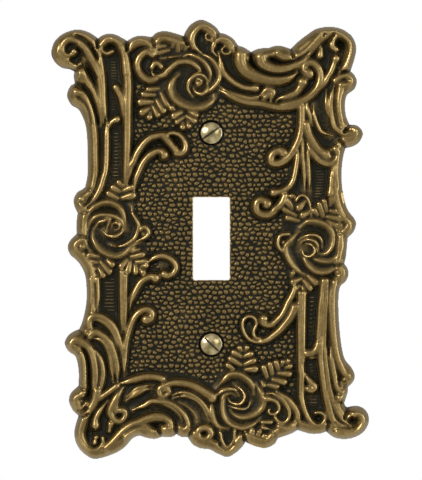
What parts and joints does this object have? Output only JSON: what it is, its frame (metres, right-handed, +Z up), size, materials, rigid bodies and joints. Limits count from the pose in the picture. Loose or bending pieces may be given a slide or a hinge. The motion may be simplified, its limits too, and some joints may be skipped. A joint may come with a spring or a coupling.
{
  "type": "toggle switch wall plate",
  "caption": "Cast antique-brass wall plate for a toggle switch, with scroll and rose relief round a pebbled panel and slotted oval-head screws.",
  "frame": {"origin": "on the wall plane, midway between the two screw holes, on the toggle opening's centre", "axes": "+Z up the wall, +X to the right as seen from the front, and the decorated front faces -Y, so the screws point along +Y into the wall"},
  "size_m": [0.0909, 0.0157, 0.1258],
  "materials": {
    "antique_brass": "dark patina left in the recesses, rubbed back to satin brass on the high places",
    "polished_brass": "bright turned and polished pale brass"
  },
  "bodies": {
    "plate": {"plate": "antique_brass"},
    "upper_screw": {"upper_screw": "polished_brass"},
    "lower_screw": {"lower_screw": "polished_brass"}
  },
  "joints": [
    {"name": "upper_screw_turn", "type": "hinge", "parent": "plate", "child": "upper_screw", "pos_m": [0, -0.0045, 0.03016], "axis": [0, 1, 0], "continuous": true},
    {"name": "lower_screw_turn", "type": "hinge", "parent": "plate", "child": "lower_screw", "pos_m": [0, -0.0045, -0.03016], "axis": [0, 1, 0], "continuous": true}
  ]
}
